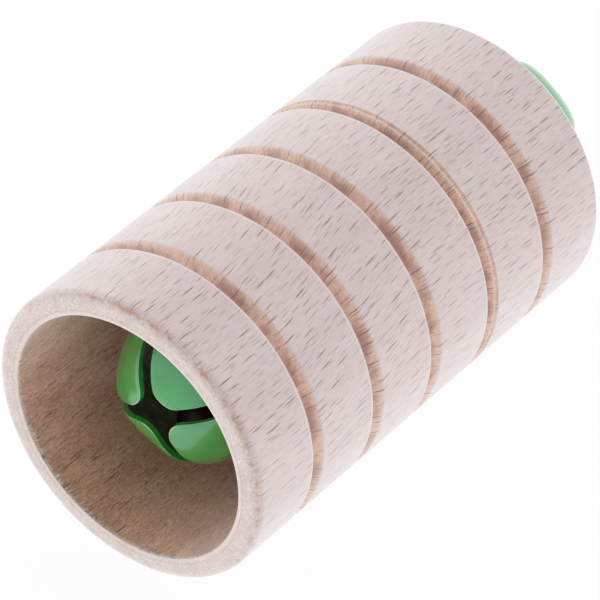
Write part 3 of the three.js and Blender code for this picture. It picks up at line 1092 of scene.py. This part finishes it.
class GUIRO_OT_screws(bpy.types.Operator):
    """Turn and thread the screws that hold the bells"""

    bl_idname = "guiro.screws"
    bl_label = "Bell screws"

    def execute(self, context):
        sizes = context.scene.guiro_fittings
        material = zinc_plate(context.scene.guiro_colours)
        for end, outwards in (("front", -1), ("rear", 1)):
            low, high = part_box(f"{end}_bell_screw")
            top, point = (low.y, high.y) if outwards < 0 else (high.y, low.y)
            head_radius = box_radius(low, high)
            under = top - outwards * sizes.head
            profile = [
                (0, point),
                (sizes.shank, point + outwards * sizes.point),
                (sizes.shank, under - outwards * sizes.neck),
                (sizes.shank + sizes.neck, under),
                (head_radius - sizes.head_edge, under),
            ]
            dome = arc((0, 0), 1, 0, 90, steps=10)
            for radius, rise in dome:
                height = sizes.head_edge + (sizes.head - sizes.head_edge) * rise
                profile.append((head_radius * radius, under + outwards * height))
            bm = turned(profile, SCREW_STEPS)
            start = point + outwards * sizes.thread_start
            stop = under - outwards * sizes.plain_shank
            self.thread(bm, sizes, start, stop, outwards)
            screw = publish(
                bm, f"{end}_wood_screw", "rod", [material], [f"{end}_bell_screw"], sharp=35
            )
            cross_recess(screw, sizes, top)
        return {"FINISHED"}

    def thread(self, bm, sizes, start, stop, outwards):
        """Winds the thread's ridge round the shank."""
        turns = abs(stop - start) / sizes.pitch
        steps = round(turns * THREAD_STEPS)
        root = sizes.shank - sizes.root
        section = ((root, -sizes.flank), (sizes.thread, 0), (root, sizes.flank))
        ridge = [bm.verts.new((radius, start + off, AXIS_HEIGHT)) for radius, off in section]
        edges = [bm.edges.new((ridge[i - 1], ridge[i])) for i in range(3)]
        bm.faces.new(ridge)
        swept = bmesh.ops.spin(
            bm,
            geom=ridge + edges,
            cent=(0, 0, AXIS_HEIGHT),
            axis=(0, outwards, 0),
            dvec=(0, (stop - start) / steps, 0),
            angle=turns * 2 * math.pi,
            steps=steps,
        )
        bm.faces.new([v for v in swept["geom_last"] if isinstance(v, bmesh.types.BMVert)])
        bmesh.ops.recalc_face_normals(bm, faces=bm.faces[:])


class GUIRO_OT_washers(bpy.types.Operator):
    """Stamp the washers on each end of the rod"""

    bl_idname = "guiro.washers"
    bl_label = "Washers"

    def execute(self, context):
        sizes = context.scene.guiro_fittings
        material = zinc_plate(context.scene.guiro_colours)
        edge = sizes.washer_edge
        inner = sizes.washer_hole + edge
        for end in ("front", "rear"):
            for kind in ("stop", "inner"):
                low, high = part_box(f"{end}_{kind}_washer")
                outer = box_radius(low, high) - edge
                near, far = low.y + edge, high.y - edge
                corners = (
                    (inner, near, 180), (outer, near, 270), (outer, far, 0), (inner, far, 90)
                )
                profile = []
                for radius, along, start in corners:
                    profile += arc((radius, along), edge, start, start + 90, steps=3)
                bm = turned(profile, FITTING_STEPS)
                publish(bm, f"{end}_{kind}_ring", "rod", [material], [f"{end}_{kind}_washer"])
        return {"FINISHED"}


class GUIRO_OT_stage(bpy.types.Operator):
    """Lay the paper floor, set the light and place the camera"""

    bl_idname = "guiro.stage"
    bl_label = "Stage"

    def execute(self, context):
        scene = context.scene
        settings = scene.guiro_stage
        turn, lift = settings.azimuth, settings.elevation
        flat = math.cos(lift)
        back = Vector((math.sin(turn) * flat, -math.cos(turn) * flat, math.sin(lift)))
        self.lay_floor(scene, settings)
        self.light(scene, settings, back)
        self.place_camera(scene, settings, back)
        scene.view_settings.view_transform = "Standard"
        return {"FINISHED"}

    def lay_floor(self, scene, settings):
        """A wide sheet of white paper under the shaker."""
        bm = bmesh.new()
        bmesh.ops.create_grid(bm, x_segments=1, y_segments=1, size=settings.floor_size / 2)
        floor = new_object(bm, "paper_floor", [white_paper(scene.guiro_colours, settings)])

    def light(self, scene, settings, back):
        """A white light tent, dimmer round the opening on the photographer's side."""
        world = bpy.data.worlds.new("light_tent")
        world.use_nodes = True
        world.node_tree.nodes.clear()
        add = partial(add_node, world.node_tree)
        ways = add("TexCoord", output="Generated")
        toward = add("VectorMath.DOT_PRODUCT", [ways, back], output="Value")
        outer, inner = math.cos(settings.opening_outer), math.cos(settings.opening_inner)
        limits = [toward, outer, inner, settings.tent, settings.opening]
        level = add("MapRange", limits, interpolation_type="SMOOTHSTEP")
        level = add("Mix", {0: seen_directly(add), 2: level, 3: 1})
        sky = add("Background", {"Color": (1, 1, 1, 1), "Strength": level})
        add("OutputWorld", {"Surface": sky})
        scene.world = world

    def place_camera(self, scene, settings, back):
        """The camera at the photograph's angle."""
        data = bpy.data.cameras.new("photo_camera")
        data.lens = settings.lens
        camera = bpy.data.objects.new("photo_camera", data)
        scene.collection.objects.link(camera)
        right = Vector((math.cos(settings.azimuth), math.sin(settings.azimuth), 0))
        up = back.cross(right)
        aim = (BODY_LOW + BODY_HIGH) / 2 + right * settings.aim_right + up * settings.aim_up
        camera.location = aim + back * settings.distance
        camera.rotation_mode = "QUATERNION"
        camera.rotation_quaternion = (-back).to_track_quat("-Z", "Y")
        scene.camera = camera


class GUIRO_PT_sidebar(bpy.types.Panel):
    """Lists the shaker's pieces and settings"""

    bl_idname = "GUIRO_PT_sidebar"
    bl_label = "Guiro shaker"
    bl_space_type = "VIEW_3D"
    bl_region_type = "UI"
    bl_category = "Guiro"

    def draw(self, context):
        for operator in OPERATORS:
            self.layout.operator(operator.bl_idname)
        for name, group in SETTINGS.items():
            box = self.layout.box()
            box.label(text=group.__doc__)
            for prop in group.__annotations__:
                box.prop(getattr(context.scene, name), prop)


SETTINGS = {
    "guiro_body": GuiroBodySizes,
    "guiro_bells": GuiroBellSizes,
    "guiro_fittings": GuiroFittingSizes,
    "guiro_colours": GuiroColours,
    "guiro_stage": GuiroStageSettings,
}
OPERATORS = [
    GUIRO_OT_body,
    GUIRO_OT_fibres,
    GUIRO_OT_rod,
    GUIRO_OT_bells,
    GUIRO_OT_pellets,
    GUIRO_OT_screws,
    GUIRO_OT_washers,
    GUIRO_OT_stage,
]


def register():
    """Registers the settings, operators and panel."""
    for name, group in SETTINGS.items():
        bpy.utils.register_class(group)
        setattr(bpy.types.Scene, name, PointerProperty(type=group))
    for operator in OPERATORS:
        bpy.utils.register_class(operator)
    bpy.utils.register_class(GUIRO_PT_sidebar)


def unregister():
    """Removes what register added."""
    bpy.utils.unregister_class(GUIRO_PT_sidebar)
    for operator in reversed(OPERATORS):
        bpy.utils.unregister_class(operator)
    for name, group in reversed(SETTINGS.items()):
        delattr(bpy.types.Scene, name)
        bpy.utils.unregister_class(group)


def main():
    register()
    bpy.ops.guiro.body()
    bpy.ops.guiro.fibres()
    bpy.ops.guiro.rod()
    bpy.ops.guiro.bells()
    bpy.ops.guiro.pellets()
    bpy.ops.guiro.screws()
    bpy.ops.guiro.washers()
    bpy.ops.guiro.stage()


if __name__ == "__main__":
    main()
